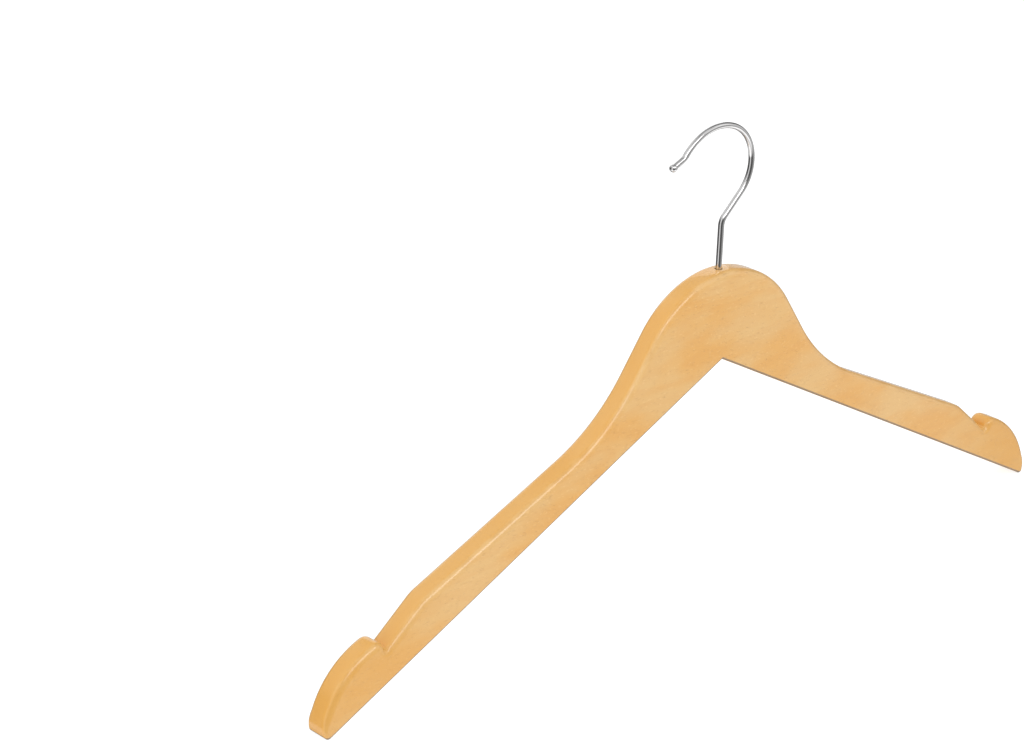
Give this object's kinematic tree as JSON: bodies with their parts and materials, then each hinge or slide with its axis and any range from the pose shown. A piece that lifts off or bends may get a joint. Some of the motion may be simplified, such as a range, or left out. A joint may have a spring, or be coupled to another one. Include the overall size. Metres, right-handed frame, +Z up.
{
  "type": "clothes hanger",
  "caption": "Flat wooden garment hanger with sloping arms, strap notches and a chrome wire hook that swivels on a vertical axis.",
  "frame": {"origin": "on the swivel axis, where it meets the inside of the hook's arch and the rail bears", "axes": "+X along the arms to the hook's closed side, +Y through the board from front face to back face, +Z up along the swivel axis"},
  "size_m": [0.445, 0.012, 0.2232],
  "materials": {
    "wood": "pale honey wood under clear gloss lacquer",
    "chrome_wire": "bright chrome plate on round wire",
    "zinc_washer": "zinc plated",
    "zinc_nut": "zinc plated"
  },
  "bodies": {
    "hook": {"hook": "chrome_wire", "washer": "zinc_washer", "lock_nut": "zinc_nut"},
    "hanger_body": {"wood_body": "wood"}
  },
  "joints": [
    {"name": "hook_swivel", "type": "hinge", "parent": "hook", "child": "hanger_body", "pos_m": [0, 0, -0.064], "axis": [0, 0, 1], "continuous": true}
  ]
}
